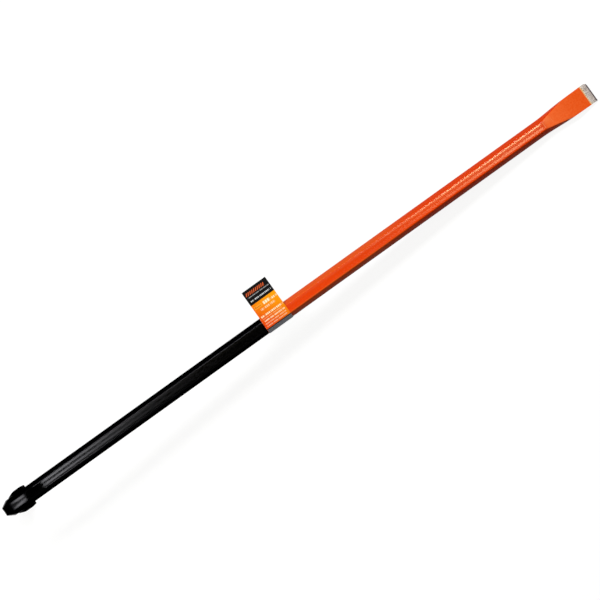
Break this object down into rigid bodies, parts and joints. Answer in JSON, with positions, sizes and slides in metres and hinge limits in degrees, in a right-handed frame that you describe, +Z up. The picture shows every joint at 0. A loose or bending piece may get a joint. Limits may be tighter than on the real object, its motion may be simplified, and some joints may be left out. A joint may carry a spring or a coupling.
{
  "type": "crowbar",
  "caption": "Forged hexagonal crowbar with a gooseneck nail claw, a flared chisel end, two-colour enamel and a folded paper flag label.",
  "frame": {"origin": "middle of the base of the tool's box, on the surface that it stands on with its hook down", "axes": "+Z up, +X from the hook towards the chisel, +Y towards the side where the label's flag stands out"},
  "size_m": [0.8994, 0.0648, 0.1146],
  "materials": {
    "bare_steel": "ground bare, with fine grinding lines along the bar",
    "black_enamel": "semi-gloss black enamel over a forged surface",
    "orange_enamel": "semi-gloss orange enamel over a forged surface",
    "label_print": "coated paper with a black header over an orange panel"
  },
  "bodies": {
    "root": {"forged_bar": "bare_steel", "black_coat": "black_enamel", "orange_coat": "orange_enamel", "flag_label": "label_print"}
  },
  "joints": []
}
